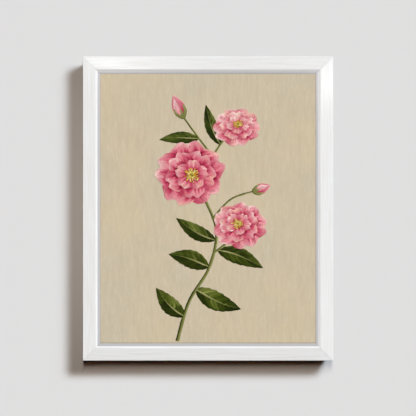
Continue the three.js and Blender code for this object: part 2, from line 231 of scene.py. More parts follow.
def buildBristles(tree, given):
    # fine lines along each dab, broken where the bristles ran dry
    parts = axes(tree, given["Vector"])
    along, layer = times(tree, parts["X"], given["Stretch"]), times(tree, parts["Z"], 7.0)
    place = addNode(tree, "CombineXYZ", {"X": along, "Y": parts["Y"], "Z": layer}).outputs[0]
    return {"Fine": noiseAt(tree, place, given["Lines"], 3.0, 0.6)}


alongGrain = makeGroup("alongGrain", buildAlongGrain, ("Fine", "Broad"), "Lines", "Waver")
weave = makeGroup("weave", buildWeave, ("Height", "Slub"), "Threads", "Slubs")
dust = makeGroup("dust", buildDust, ("Mask",), "Amount")
bristles = makeGroup("bristles", buildBristles, ("Fine",), "Lines", "Stretch")


def newMaterial(name, values):
    material = bpy.data.materials.new(name)
    material.use_nodes = True
    tree = material.node_tree
    tree.nodes.clear()
    shader = addNode(tree, "BsdfPrincipled", values)
    addNode(tree, "OutputMaterial", {"Surface": shader.outputs[0]})
    return material, tree, shader


def objectVector(tree, turn=(0, 0, 0)):
    place = addNode(tree, "TexCoord").outputs["Object"]
    return addNode(tree, "Mapping", {"Vector": place, "Rotation": turn}).outputs[0]


def bump(tree, shader, height, distance, strength, **under):
    values = {"Height": height, "Distance": distance, "Strength": strength, **under}
    made = addNode(tree, "Bump", values).outputs[0]
    fillSockets(tree, shader, {"Normal": made})
    return made


def setSurface(tree, shader, colour, pattern, roughness):
    # the roughness follows the pattern from the first value to the second
    rough = ranged(tree, pattern, 0.3, 0.7, *roughness)
    fillSockets(tree, shader, {"Base Color": colour, "Roughness": rough})


def dusted(tree, vector, colour, amount, dustColour):
    return mixed(tree, useGroup(tree, dust, vector, amount)["Mask"], colour, dustColour)


# a pattern runs along X on flat pieces and is turned to run along Z on upright ones
turns = {"flat": (0, 0, 0), "upright": (0, math.radians(90), 0)}

# frame: white satin lacquer, with the lines of the brush and of the wood along each rail
lacquer = {
    "colour": "#f8f9fa",
    "line": "#eeeeea",
    "step": "#cdccce",  # painted shade: the lower step beside the cloth is painted greyer
    "stepInset": {"flat": (0.027, 0.0272), "upright": (0.0277, 0.0279)},
    "stepBack": -0.012,  # no deeper than this
    # painted shadow: darker again beside the cloth, on the top and right rails
    "paintedShadowInset": {"flat": 0.0291, "upright": 0.0296},
    # painted shade: the flat rails, top and foot, are a little darker than the upright ones
    "tone": {"flat": 0.95, "upright": 1.0},
    "paintedShadowTone": {"flat": 0.88, "upright": 0.93},
    "rawWood": "#d8bd92",  # bare back, with the white running a little way on to it
    "rawGrain": "#b58f5f",
    "overspray": (0.009, 0.017),
    "ragged": 0.006,
    "dust": (0.35, "#cfccc4"),
    "lines": 620.0,
    "waver": 0.0004,
    "roughness": (0.26, 0.4),
    "rawRougher": 0.35,
    "lineHeight": 0.00006,
    "outward": 0.1,  # an outer side faces away from the middle, at least this far from it
}


# painted shade on the rails: a greyer step, a painted shadow beside the cloth on the top and right rails, and
# the flat rails a little darker
def stepColourWithPaintedShade(tree, run, colour, inset, parts):
    before = maths(tree, "LESS_THAN", parts["Y"], lacquer["stepBack"])
    stepShadeMask = times(tree, ranged(tree, inset, *lacquer["stepInset"][run]), before)
    colour = mixed(tree, stepShadeMask, colour, lacquer["step"])
    # painted shadow beside the cloth, on the top and right rails only
    paintedShadowBesideCloth = times(tree, maths(tree, "GREATER_THAN", inset, lacquer["paintedShadowInset"][run]), before)
    topOrRight = maths(tree, "GREATER_THAN", parts["Z" if run == "flat" else "X"], 0.0)
    # painted shade: the flat rails a little darker, and darker again in the painted shadow
    tone = lacquer["tone"][run]
    tone = ranged(tree, times(tree, paintedShadowBesideCloth, topOrRight), 0, 1, tone, tone * lacquer["paintedShadowTone"][run])
    return mixed(tree, 1.0, colour, grey(tree, tone), "MULTIPLY")


def lacquerMaterial(run):
    material, tree, shader = newMaterial(run + "Lacquer", {"IOR": 1.5})
    vector = objectVector(tree, turns[run])
    grain = useGroup(tree, alongGrain, vector, lacquer["lines"], lacquer["waver"])
    fromMiddle = vectorMaths(tree, "SUBTRACT", objectVector(tree), (0, 0, centreZ))
    parts = axes(tree, fromMiddle)
    inset = maths(tree, "MINIMUM", *(
        maths(tree, "SUBTRACT", half, maths(tree, "ABSOLUTE", parts[axis]))
        for axis, half in (("X", outerWidth / 2), ("Z", outerHeight / 2))
    ))
    lines = ranged(tree, grain["Fine"], 0.42, 0.66)
    colour = mixed(tree, lines, lacquer["colour"], lacquer["line"])
    colour = stepColourWithPaintedShade(tree, run, colour, inset, parts)
    # the back is bare wood inside the overspray
    normal = faceNormal(tree)
    rear = ranged(tree, axes(tree, normal)["Y"], 0.7, 0.95)
    spread = maths(tree, "ADD", inset, times(tree, grain["Fine"], lacquer["ragged"]))
    bare = times(tree, rear, ranged(tree, spread, *lacquer["overspray"]))
    wood = mixed(tree, ranged(tree, grain["Fine"], 0.4, 0.66), lacquer["rawWood"], lacquer["rawGrain"])
    wood = mixed(tree, ranged(tree, grain["Broad"], 0.45, 0.6, 0.0, 0.4), wood, lacquer["rawGrain"])
    colour = dusted(tree, vector, mixed(tree, bare, colour, wood), *lacquer["dust"])
    # the outer sides and the back throw no light on the wall, so it is even up to the frame
    outward = vectorMaths(tree, "DOT_PRODUCT", normal, fromMiddle, "Value")
    towardsWall = maths(tree, "MAXIMUM", maths(tree, "GREATER_THAN", outward, lacquer["outward"]), rear)
    unlit = times(tree, addNode(tree, "LightPath").outputs["Is Diffuse Ray"], towardsWall)
    roughness = ranged(tree, grain["Fine"], 0.3, 0.7, *lacquer["roughness"])
    roughness = maths(tree, "ADD", roughness, times(tree, bare, lacquer["rawRougher"]))
    fillSockets(tree, shader, {
        "Base Color": mixed(tree, unlit, colour, (0, 0, 0, 1)),
        "Roughness": maths(tree, "MAXIMUM", roughness, unlit),
    })
    bump(tree, shader, grain["Fine"], lacquer["lineHeight"], 0.8)
    return material


# bare woods: pine for the bars and beech for the corner keys
woods = {
    "pine": {"light": "#e2c79b", "dark": "#b98c55", "pith": "#a87440", "lines": 520.0, "waver": 0.006},
    "beech": {"light": "#d0a67a", "dark": "#a87a50", "pith": "#8d5f3a", "lines": 900.0, "waver": 0.002},
    "dust": (0.5, "#cfccc4"),
    "roughness": (0.62, 0.8),
    "lineHeight": 0.0002,
}


def woodMaterial(kind, run):
    wood = woods[kind]
    material, tree, shader = newMaterial(kind + run.capitalize(), {"Specular IOR Level": 0.3})
    vector = objectVector(tree, turns[run])
    grain = useGroup(tree, alongGrain, vector, wood["lines"], wood["waver"])
    colour = mixed(tree, ranged(tree, grain["Broad"], 0.38, 0.66), wood["light"], wood["dark"])
    colour = mixed(tree, ranged(tree, grain["Fine"], 0.56, 0.8, 0.0, 0.7), colour, wood["pith"])
    colour = dusted(tree, vector, colour, *woods["dust"])
    setSurface(tree, shader, colour, grain["Fine"], woods["roughness"])
    bump(tree, shader, grain["Fine"], woods["lineHeight"], 0.6)
    return material


metals = {
    "zinc": {"colour": "#c3c6c9", "dull": "#8f9498", "roughness": (0.22, 0.45), "spots": 900.0},
    "brass": {"colour": "#d3b063", "dull": "#94783c", "roughness": (0.24, 0.48), "spots": 500.0},
    "height": 0.00003,
}


def metalMaterial(kind):
    metal = metals[kind]
    material, tree, shader = newMaterial(kind, {"Metallic": 1.0})
    vector = objectVector(tree)
    spangle = noiseAt(tree, vector, metal["spots"], 4.0, 0.6)
    worn = noiseAt(tree, vector, metal["spots"] * 0.2)
    colour = mixed(tree, ranged(tree, spangle, 0.4, 0.75), metal["colour"], metal["dull"])
    setSurface(tree, shader, colour, worn, metal["roughness"])
    bump(tree, shader, spangle, metals["height"], 0.5)
    return material


pads = {
    "colour": "#75777a",
    "dark": "#5d5f62",
    "specks": 2600.0,
    "roughness": (0.5, 0.7),
    "dust": (0.6, "#b9b4aa"),
    "height": 0.00005,
}


def rubberMaterial():
    material, tree, shader = newMaterial("greyRubber", {"Specular IOR Level": 0.35})
    vector = objectVector(tree)
    speck = noiseAt(tree, vector, pads["specks"])
    colour = mixed(tree, ranged(tree, speck, 0.35, 0.7), pads["colour"], pads["dark"])
    colour = dusted(tree, vector, colour, *pads["dust"])
    setSurface(tree, shader, colour, speck, pads["roughness"])
    bump(tree, shader, speck, pads["height"], 0.5)
    return material


# cloth: beige ground brushed upright over the weave, and raw cotton where the ground stops
ground = {
    "warm": "#d7c7a9",
    "cool": "#d0c4ab",
    "light": "#e6dac2",
    "dark": "#bfae90",
    "raw": "#ddd5c2",
    "rawSlub": "#d4cab5",
    # painted shade along the folds at the corners of the turned edge
    "creaseShade": "#8f8467",
    "edge": "#a8987a",  # along the foot of the picture
    "edgeWidth": (0.001, 0.0022),
    "sideDepth": (0.0125, 0.0135),  # how far down the sides the ground goes
    "ragged": 0.008,
    "flapDepth": (0.017, 0.018),
    "creaseShadeWidth": (0.0002, 0.0009),
    "threads": 1350.0,
    "slubs": 160.0,
    "streaks": 340.0,
    "brushHeight": 0.00018,
    "weaveHeight": 0.00014,
    "roughness": (0.7, 0.86),
    "shader": {"Specular IOR Level": 0.25, "Sheen Weight": 0.05},
}


def groundColour(tree, place, fine, wide, threads):
    patches = noiseAt(tree, place, 8.0, 4.0, 0.55)
    colour = mixed(tree, ranged(tree, patches, 0.4, 0.62), ground["warm"], ground["cool"])
    start, end = (clothLow.z + width for width in ground["edgeWidth"])
    for mask, name in (
        (ranged(tree, fine, 0.48, 0.72, 0.0, 0.42), "light"),
        (ranged(tree, wide, 0.46, 0.72, 0.0, 0.24), "dark"),
        # painted shade: darker where the weave lies low
        (ranged(tree, threads["Height"], 0.0, 0.6, 0.16, 0.0), "dark"),
        (ranged(tree, axes(tree, place)["Z"], start, end, 0.55, 0.0), "edge"),
    ):
        colour = mixed(tree, mask, colour, ground[name])
    return colour


def rawColour(tree, parts, depth, slub):
    colour = mixed(tree, ranged(tree, slub, 0.35, 0.7), ground["raw"], ground["rawSlub"])
    # a dark line of painted shade runs along the diagonal of each corner of the turned edge, where the cloth
    # would be folded
    apart = maths(tree, "SUBTRACT", maths(tree, "ABSOLUTE", parts["X"]), clothHalf.x - clothHalf.z)
    level = maths(tree, "ABSOLUTE", maths(tree, "SUBTRACT", parts["Z"], centreZ))
    fold = maths(tree, "ABSOLUTE", maths(tree, "SUBTRACT", apart, level))
    onFlap = ranged(tree, depth, *ground["flapDepth"])
    creaseShade = times(tree, ranged(tree, fold, *ground["creaseShadeWidth"], 1.0, 0.0), onFlap, 0.6)
    return mixed(tree, creaseShade, colour, ground["creaseShade"])


def clothMaterial():
    material, tree, shader = newMaterial("paintedCloth", ground["shader"])
    place = objectVector(tree)
    parts = axes(tree, place)
    strokes = vectorMaths(tree, "MULTIPLY", place, (1.0, 1.0, 0.2))
    fine = noiseAt(tree, strokes, ground["streaks"], 4.0, 0.65)
    wide = noiseAt(tree, strokes, ground["streaks"] * 0.3, 3.0, 0.55)
    threads = useGroup(tree, weave, place, ground["threads"], ground["slubs"])
    # the ground ends raggedly
    ragged = times(tree, maths(tree, "SUBTRACT", noiseAt(tree, place, 60.0), 0.5), ground["ragged"])
    depth = maths(tree, "ADD", maths(tree, "SUBTRACT", parts["Y"], clothFront), ragged)
    bare = ranged(tree, depth, *ground["sideDepth"])
    bare = maths(tree, "MAXIMUM", bare, maths(tree, "GREATER_THAN", axes(tree, faceNormal(tree))["Y"], 0.3))
    painted = groundColour(tree, place, fine, wide, threads)
    raw = rawColour(tree, parts, depth, threads["Slub"])
    setSurface(tree, shader, mixed(tree, bare, painted, raw), fine, ground["roughness"])
    brushed = bump(tree, shader, fine, ground["brushHeight"], 0.6)
    bump(tree, shader, threads["Height"], ground["weaveHeight"], 0.5, Normal=brushed)
    return material


def dressFrame():
    woodwork = {
        run: {
            "rail_": lacquerMaterial(run),
            "stretcher_bar_": woodMaterial("pine", run),
            "corner_key_": woodMaterial("beech", run),
        }
        for run in turns
    }
    zinc, brass = metalMaterial("zinc"), metalMaterial("brass")
    fittings = {
        "ledge_screw_": zinc, "mitre_nail_": zinc, "staple_": zinc,
        "sawtooth_hanger": brass, "hanger_tack_": brass, "wall_pad_": rubberMaterial(),
    }
    for name, piece in nodes.items():
        run = "upright" if "left" in name or "right" in name else "flat"
        for start, material in (woodwork[run] | fittings).items():
            if name.startswith(start):
                piece.data.materials.clear()
                piece.data.materials.append(material)
    print("frame, bars and fittings dressed")


def meshFrom(name, bm, *materials):
    mesh = bpy.data.meshes.new(name)
    bm.to_mesh(mesh)
    bm.free()
    for material in materials:
        mesh.materials.append(material)
    return mesh


def finishedPiece(name, bm, material, shade=True):
    mesh = meshFrom(name, bm, material)
    if shade:
        mesh.shade_smooth()
    piece = putInScene(name, mesh)
    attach(piece, "root")
    return piece


def roundEdges(bm, edges, size, segments):
    bmesh.ops.bevel(bm, geom=edges, offset=size, offset_type="OFFSET", affect="EDGES",
                    segments=segments, profile=0.5, material=-1)


def placedBox(bm, size, middle):
    verts = bmesh.ops.create_cube(bm, size=1.0)["verts"]
    bmesh.ops.scale(bm, vec=size, verts=verts)
    bmesh.ops.translate(bm, vec=middle, verts=verts)


# cloth: one sheet over the bars, turned over behind them
cloth = {
    "thickness": 0.0005,
    "swell": 0.0002,
    "frontRound": 0.0005,
    "sideRound": 0.0012,
    "flap": 0.03,
    "backGap": 0.00025,
}


def makeCloth():
    bm = bmesh.new()
    size = clothHigh - clothLow + Vector((1, 0, 1)) * 2 * cloth["swell"]
    size.y -= cloth["backGap"]
    middle = (clothLow + clothHigh) / 2
    middle.y -= cloth["backGap"] / 2
    placedBox(bm, size, middle)
    backFace = max(bm.faces, key=lambda face: face.calc_center_median().y)
    bmesh.ops.inset_region(bm, faces=[backFace], thickness=cloth["flap"], use_even_offset=True)
    bmesh.ops.delete(bm, geom=[backFace], context="FACES")
    corners = [e for e in bm.edges if abs(e.verts[0].co.y - e.verts[1].co.y) > size.y / 2]
    roundEdges(bm, corners, cloth["sideRound"], 3)
    front = min(v.co.y for v in bm.verts)
    rims = [e for e in bm.edges if all(abs(v.co.y - front) < 1e-6 for v in e.verts)]
    roundEdges(bm, rims, cloth["frontRound"], 3)
    bmesh.ops.recalc_face_normals(bm, faces=bm.faces)
    bmesh.ops.solidify(bm, geom=bm.faces[:], thickness=cloth["thickness"])
    print("cloth faces", len(bm.faces))
    piece = finishedPiece("clothOverBars", bm, clothMaterial(), shade=False)
    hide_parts("canvas")


# staples between those that are nodes of their own
staples = {
    "crown": 0.012,
    "width": 0.00125,
    "height": 0.0009,
    "sunk": 0.00005,
    "round": 0.00025,
    "inset": 0.021,
    "shortSide": (-0.157, -0.079, -0.04, 0.04, 0.079, 0.157),
    "longSide": (-0.2, -0.12, -0.08, -0.04, 0.04, 0.08, 0.12, 0.2),
}


def makeStaples():
    bm = bmesh.new()
    level = clothHigh.y - cloth["backGap"] + staples["height"] / 2 - staples["sunk"]
    crown, height, width = staples["crown"], staples["height"], staples["width"]
    for end in (-1, 1):
        for along in staples["shortSide"]:
            across = centreZ + end * (clothHalf.z - staples["inset"])
            placedBox(bm, (crown, height, width), (along, level, across))
        for along in staples["longSide"]:
            across = end * (clothHalf.x - staples["inset"])
            placedBox(bm, (width, height, crown), (across, level, centreZ + along))
    roundEdges(bm, bm.edges[:], staples["round"], 2)
    piece = finishedPiece("edgeStaples", bm, nodes["staple_top_1"].data.materials[0])
    print("faces of the other staples", len(piece.data.polygons))


# paint of the motif: the tint that each dab carries, with the lines that the bristles left in it
paint = {
    "lines": 1.5,
    "stretch": 0.07,
    "ridge": 0.00012,
    "weaveHeight": 0.0001,
    "darker": (0.82, 0.79, 0.8, 1),
    "lighter": (1.1, 1.09, 1.07, 1),
    "roughness": {"leafPaint": 0.34, "petalPaint": 0.42, "stamenPaint": 0.37, "budPaint": 0.4},
    "rougher": 0.22,  # between the lines
}


def paintMaterial(name):
    material, tree, shader = newMaterial(name, {"Specular IOR Level": 0.08})
    tint = addNode(tree, "Attribute", attribute_name="tint").outputs["Color"]
    place = addNode(tree, "Attribute", attribute_name="place").outputs["Vector"]
    marks = useGroup(tree, bristles, place, paint["lines"], paint["stretch"])
    darker, lighter = (mixed(tree, 1.0, tint, paint[end], "MULTIPLY") for end in ("darker", "lighter"))
    colour = mixed(tree, ranged(tree, marks["Fine"], 0.3, 0.7), darker, lighter)
    smoothest = paint["roughness"][name]
    setSurface(tree, shader, colour, marks["Fine"], (smoothest, smoothest + paint["rougher"]))
    threads = useGroup(tree, weave, objectVector(tree), ground["threads"], ground["slubs"])
    brushed = bump(tree, shader, marks["Fine"], paint["ridge"], 0.7)
    bump(tree, shader, threads["Height"], paint["weaveHeight"], 0.25, Normal=brushed)
    return material


# painted spray, in millimetres about the middle of the cloth: right, then up
spray = {
    "stems": [
        {
            "points": [(-58, -250), (-36, -176), (2, -112), (16, -44), (-4, 14), (-26, 58)],
            "width": (6.5, 4.5),
        },
        {"points": [(10, -84), (34, -66), (56, -40)], "width": (4.5, 3.5)},
        {"points": [(-12, 30), (-2, 72), (16, 110), (44, 148)], "width": (4.5, 3.5)},
        {"points": [(10, 98), (-18, 134), (-50, 178)], "width": (4, 3)},
        {"points": [(8, -20), (44, 18), (92, 34)], "width": (4, 3)},
    ],
    "leaves": [
        {"base": (-44, -204), "tip": (-98, -150), "width": 34, "bend": 0.06},
        {"base": (-24, -152), "tip": (62, -190), "width": 38, "bend": -0.05},
        {"base": (2, -110), "tip": (-74, -86), "width": 36, "bend": -0.05},
        {"base": (14, -60), "tip": (-60, -18), "width": 30, "bend": 0.05},
        {"base": (18, -78), "tip": (104, -112), "width": 34, "bend": 0.05},
        {"base": (24, 120), "tip": (-4, 196), "width": 26, "bend": 0.05},
        {"base": (-17, 132), "tip": (-92, 130), "width": 24, "bend": -0.04},
    ],
    "blossoms": {
        "lower": {
            "centre": (60, -32), "radius": 52, "squash": 0.86,
            "turn": 0.35, "lean": (-0.12, 0.12), "depth": 0.02,
        },
        "middle": {
            "centre": (-34, 66), "radius": 66, "squash": 0.94,
            "turn": -0.1, "lean": (0.08, -0.06), "depth": 0.16,
        },
        "upper": {
            "centre": (54, 154), "radius": 46, "squash": 0.8,
            "turn": 0.6, "lean": (0.1, 0.2), "depth": -0.1,
        },
    },
    "buds": {
        "left": {"base": (-46, 172), "tip": (-66, 214), "width": 24},
        "right": {"base": (86, 32), "tip": (118, 44), "width": 20},
    },
    "sink": 0.06,  # how far each dab goes into the cloth
    "seed": 31,
}


def closedPatch(along, across):
    # a flat closed slab: x from -1 to 1 along it, y from -1 to 1 across, top at z = 1 and underside at 0
    bm = bmesh.new()
    bmesh.ops.create_grid(bm, x_segments=along, y_segments=across, size=1.0)
    bmesh.ops.translate(bm, vec=(0, 0, 1), verts=bm.verts)
    made = bmesh.ops.extrude_face_region(bm, geom=bm.faces[:])
    low = [v for v in made["geom"] if isinstance(v, bmesh.types.BMVert)]
    bmesh.ops.translate(bm, vec=(0, 0, -1), verts=low)
    bmesh.ops.recalc_face_normals(bm, faces=bm.faces)
    return meshFrom("patch", bm)


patches = {
    "dab": closedPatch(6, 2),
    "long": closedPatch(16, 2),
    "stem": closedPatch(48, 4),
    "leaf": closedPatch(34, 14),
    "petal": closedPatch(20, 22),
}


def paintPiece(name, layers, material, stoodFor):
    # each layer is a patch with the function that lays it on the cloth and gives its colour
    layers = list(layers)
    bm = bmesh.new()
    for kind, _, _ in layers:
        bm.from_mesh(patches[kind])
    place = bm.verts.layers.float_vector.new("place")
    tint = bm.verts.layers.float_color.new("tint")
    verts = iter(bm.verts)
    middle = Vector((0, clothFront, centreZ))
    for kind, shape, seed in layers:
        for vert in (next(verts) for _ in range(len(patches[kind].vertices))):
            along, across, top = (vert.co.x + 1) / 2, vert.co.y, vert.co.z > 0.5
            spot, height, measure, colour = shape(along, across)
            depth = -height if top else spray["sink"]
            vert.co = middle + Vector((spot.x, depth, spot.y)) * mm
            vert[place] = (*measure, seed)
            vert[tint] = colour
    piece = finishedPiece(name, bm, material)
    piece.data.set_sharp_from_angle(angle=math.radians(40))
    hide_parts(stoodFor)
    print(name, len(layers), "layers of paint,", len(piece.data.polygons), "faces")


# curves on the cloth


def alongCurve(points, share):
    # the point and the direction at a share of a smooth curve through the points
    last = len(points) - 1
    index = min(int(share * last), last - 1)
    t = share * last - index
    p0, p1, p2, p3 = (Vector(points[min(max(i, 0), last)]) for i in (index - 1, index, index + 1, index + 2))
    v1, v2 = (p2 - p0) / 2, (p3 - p1) / 2
    a, b = 2 * p1 - 2 * p2 + v1 + v2, -3 * p1 + 3 * p2 - 2 * v1 - v2
    return p1 + t * (v1 + t * (b + t * a)), (v1 + t * (2 * b + 3 * t * a)).normalized()


def sideways(direction):
    return Vector((-direction.y, direction.x))


def wander(*at):
    return noise.noise((*at, 0.5)[:3])  # smooth, about -0.5 to 0.5


def lengthOf(points):
    return sum((Vector(b) - Vector(a)).length for a, b in zip(points, points[1:]))


def varied(colour, share):
    return tuple(clamped(c * (1 + share)) for c in colour[:3]) + (1.0,)


# one touch of the brush: blunt where it lands and lifts, with edges that stray and lie low
touch = {"blunt": 0.16, "stray": 0.25, "edge": 0.55}


def dab(points, width, low, high, colour, seed, endColour=None, taper=0.45, kind="dab"):
    length, blunt = lengthOf(points), touch["blunt"]

    def shape(along, across):
        spot, direction = alongCurve(points, along)
        swell = blunt
        if 0 < along < 1:
            swell += (1 - blunt) * math.sin(math.pi * along ** taper) ** 0.7
        half = width / 2 * swell * (1 + touch["stray"] * wander(seed * 3.1, along * 3, across))
        ridge = touch["edge"] + (1 - touch["edge"]) * (1 - across * across)
        height = low + (high - low) * ridge * (0.5 + 0.5 * swell)
        shade = blendColours(colour, endColour or colour, along)
        return spot + sideways(direction) * half * across, height, (along * length, across * half), shade

    return kind, shape, seed


# colours of the paint
paints = {name: linear(value) for name, value in {
    "wine": "#8c1734", "deep": "#bf3a5a", "rose": "#dc687e", "pink": "#e7929c",
    "soft": "#efb1b3", "pale": "#f6cccb", "cream": "#fae0d3", "peach": "#efb39d",
    "night": "#0f1705", "dark": "#242e08", "leaf": "#37420f", "moss": "#535f20",
    "sage": "#7c8243", "light": "#a19f68", "straw": "#bfb884",
    "umber": "#7d5a1e", "ochre": "#b98a2c", "yellow": "#dcb945", "lemon": "#efe08a", "lime": "#9fa64a",
}.items()}


def coats(first, *others):
    shade = paints[first]
    for name, share in others:
        shade = blendColours(shade, paints[name], share)
    return shade


# blossoms: rings of petals, each laid over the one before it
blossom = {
    "petals": 5,
    "rings": [  # covered is the share of a petal that lies under the ring above
        {"reach": 1.0, "covered": 0.66, "wide": 1.0, "turn": 0.0, "height": 0.26, "step": 0.055},
        {"reach": 0.74, "covered": 0.58, "wide": 0.86, "turn": 0.63, "height": 0.56, "step": 0.045},
        {"reach": 0.48, "covered": 0.3, "wide": 0.66, "turn": 0.2, "height": 0.8, "step": 0.035},
    ],
    "strokes": (30, 22, 14),
    "lightFrom": (-0.45, 0.89),
    "widest": 0.78,  # how far out along a petal
}


def leaned(flower, reach):
    # the inner rings lie off the middle, the way the blossom leans
    return Vector(flower["centre"]) + Vector(flower["lean"]) * flower["radius"] * (1 - reach)


def petalPlace(flower, ring, turn, seed):
    # gives a function from a place on the petal, out along it and across, to a point on the cloth
    radius, squash, widest = flower["radius"] * ring["reach"], flower["squash"], blossom["widest"]
    centre = leaned(flower, ring["reach"])
    outwards, across = Vector((math.sin(turn), math.cos(turn))), Vector((math.cos(turn), -math.sin(turn)))

    def place(out, side):
        notch = 0.1 * math.exp(-(((side - 0.1 * wander(seed, 1.0)) / 0.2) ** 2))
        ruffle = 0.05 * wander(seed * 2.7, side * 2.2) + 0.03 * wander(seed, side * 6.5)
        reach = (1.0 - 0.26 * abs(side) ** 2.6 - notch + ruffle) * out
        girth = 0.07 + 0.47 * math.sin(math.pi / 2 * min(1.0, out / widest)) ** 0.9
        girth *= 1 - 0.1 * max(0.0, out - widest) / (1 - widest)
        wide = side * girth * ring["wide"] / ring["reach"] ** 0.4
        flat = (outwards * reach + across * wide) * radius
        return centre + Vector((flat.x, flat.y * squash))

    return place


def petalTint(flower, ring, index, turn, seed):
    # dark where it comes out from under the ring above, pale at its rim, darker under the next petal
    facing = math.sin(turn) * blossom["lightFrom"][0] + math.cos(turn) * blossom["lightFrom"][1]
    tone = 0.5 * facing + 0.9 * wander(seed * 5.3, 0.3)

    def tint(out, side):
        vein = wander(side * 5.5, out * 1.3, seed * 4.3)
        shown = (out - ring["covered"]) / (1 - ring["covered"]) + 0.35 * vein + 0.12 * tone - flower["depth"]
        lit = clamped(0.55 + 0.6 * tone - 0.3 * side)
        warm = smooth(0.05, 0.4, wander(side * 1.8 + 9, out * 2.1, seed)) * smooth(0.3, 0.6, shown)
        under = smooth(0.2, 0.9, side if index else abs(side)) * (0.75 - 0.3 * facing)
        shade = coats(
            "wine",
            ("deep", smooth(-0.25, 0.05, shown)),
            ("rose", smooth(0.0, 0.3, shown)),
            ("pink", smooth(0.2, 0.55, shown)),
            ("soft", smooth(0.45, 0.9, shown) * (0.75 + 0.25 * facing)),
            ("pale", smooth(0.7, 1.0, shown) * lit),
            ("cream", smooth(0.85, 1.05, shown + 0.2 * vein) * lit * 0.7),
            ("peach", warm * 0.5),
            ("deep", under * 0.85),
        )
        return varied(shade, 0.14 * vein)

    return tint


def blossomLayers(flower, rng):
    for ring, strokes in zip(blossom["rings"], blossom["strokes"]):
        size = flower["radius"] * ring["reach"]
        for index in range(blossom["petals"]):
            turn = flower["turn"] + ring["turn"] + index * math.tau / blossom["petals"]
            seed = rng.uniform(1, 9)
            place = petalPlace(flower, ring, turn, seed)
            tint = petalTint(flower, ring, index, turn, seed)
            high = ring["height"] + index * ring["step"]
            yield petalLayer(place, tint, high, size, seed)
            for _ in range(strokes):
                yield petalStroke(place, tint, high, size, rng)


def petalLayer(place, tint, high, size, seed):
    def shape(along, across):
        out = max(0.02, along)
        edge = max(abs(across) ** 6, along ** 8)
        height = high * (1 - 0.22 * edge) - 0.03 * wander(across * 4, along * 3, seed)
        return place(out, across), height, (along * size, across * size * 0.5), tint(along, across)

    return "petal", shape, seed


def petalStroke(place, tint, high, size, rng):
    # along the petal over most of it, and round the rim at its outer edge
    seed = rng.uniform(1, 9)
    if rng.random() < 0.24:
        out, reach = rng.uniform(0.86, 0.96), rng.uniform(0.1, 0.26)
        side = rng.uniform(reach - 0.85, 0.85 - reach)
        points = [place(out + 0.012 * math.sin(k), side + reach * (k - 1)) for k in range(3)]
        width = size * rng.uniform(0.03, 0.06)
        middle = (out, side)
    else:
        out, side, lean = rng.uniform(0.16, 0.76), rng.uniform(-0.8, 0.8), rng.uniform(-0.06, 0.06)
        reach = min(rng.uniform(0.1, 0.22), (0.975 - out) / 2)
        points = [place(out + reach * k, side * (1 - 0.04 * k) + lean * k) for k in range(3)]
        width = size * rng.uniform(0.04, 0.11)
        middle = (out + reach, side)
    colour, end = tint(*middle), tint(min(1.0, middle[0] + 0.12), middle[1])
    change = rng.choice((-0.14, -0.05, 0.04, 0.1, 0.2))
    colour, end = varied(colour, change), varied(end, change * 0.6)
    return dab(points, width, high - 0.05, high + 0.045, colour, seed, end)


# leaves: toothed blades with a pale midrib
leaf = {
    "height": (0.12, 0.2),
    "teeth": 7,
    "toothDepth": 0.1,
    "toothedFrom": 0.6,
    "strokes": 30,
    "veins": 6.5,
}


def bladePlace(blade, toothed=False):
    base = Vector(blade["base"])
    along = Vector(blade["tip"]) - base
    across = sideways(along.normalized())

    def place(out, side):
        half = 0.3
        if 0 < out < 1:
            half = blade["width"] / 2 * max(0.02, math.sin(math.pi * out ** 0.8)) ** 0.85
            if toothed and abs(side) > leaf["toothedFrom"]:
                half *= 1 - leaf["toothDepth"] * ((1 - out * leaf["teeth"]) % 1.0)
        curve = blade["bend"] * along.length * math.sin(math.pi * out)
        return base + along * out + across * (half * side + curve)

    return place, along.length


def leafTint(seed, lit):
    # one half in the light, veins a little paler, and dark beside the midrib on the other half
    def tint(out, side):
        vein = abs(((out * leaf["veins"] - abs(side) * 1.5) % 1.0) - 0.5) * 2
        broad = wander(out * 2.3, side * 1.3, seed * 3.7) + 0.3 * lit * side
        shade = coats(
            "dark",
            ("leaf", smooth(-0.4, 0.1, broad)),
            ("moss", smooth(-0.05, 0.45, broad)),
            ("sage", smooth(0.25, 0.6, broad) * 0.7),
            ("sage", smooth(0.7, 1.0, vein) * smooth(-0.1, 0.5, lit * side) * 0.5),
            ("night", smooth(0.5, 0.0, abs(side)) * (lit * side < 0) * 0.55),
            ("night", smooth(0.75, 1.0, out) * 0.35 + smooth(0.2, 0.0, out) * 0.4),
        )
        return varied(shade, 0.3 * wander(side * 7, out * 2, seed))

    return tint


def leafLayers(blade, rng):
    seed = rng.uniform(1, 9)
    lit = rng.choice((-1, 1))
    low, high = leaf["height"]
    place, length = bladePlace(blade, toothed=True)
    evenPlace, _ = bladePlace(blade)
    tint = leafTint(seed, lit)

    def shape(along, across):
        height, half = low + 0.05 * (1 - across * across), blade["width"] / 2
        return place(along, across), height, (along * length, across * half), tint(along, across)

    yield "leaf", shape, seed
    for _ in range(leaf["strokes"]):
        side = rng.choice((-1, 1))
        out, reach = rng.uniform(0.03, 0.8), rng.uniform(0.5, 0.9)
        points = [evenPlace(min(0.97, out + 0.05 * k + 0.02 * k * k), side * reach * k / 2) for k in range(3)]
        colour = tint(min(1, out + 0.1), side * 0.5)
        change = rng.choice((-0.35, -0.15, 0.1, 0.3, 0.6))
        colour, end = varied(colour, change), varied(colour, change * 0.3)
        width = blade["width"] * rng.uniform(0.09, 0.2)
        yield dab(points, width, low, high, colour, rng.uniform(1, 9), end)
    for start, end, side, name in ((0.0, 0.93, 0.0, "light"), (0.1, 0.6, 0.07, "straw")):
        points = [evenPlace(start + (end - start) * k / 3, side) for k in range(4)]
        colours = paints[name], rng.uniform(1, 9), paints["moss"]
        yield dab(points, blade["width"] * 0.055, low, high + 0.06, *colours, kind="long")


# stems: a dark side, a lit side and small touches along them
stem = {"height": (0.14, 0.24), "touches": 22}


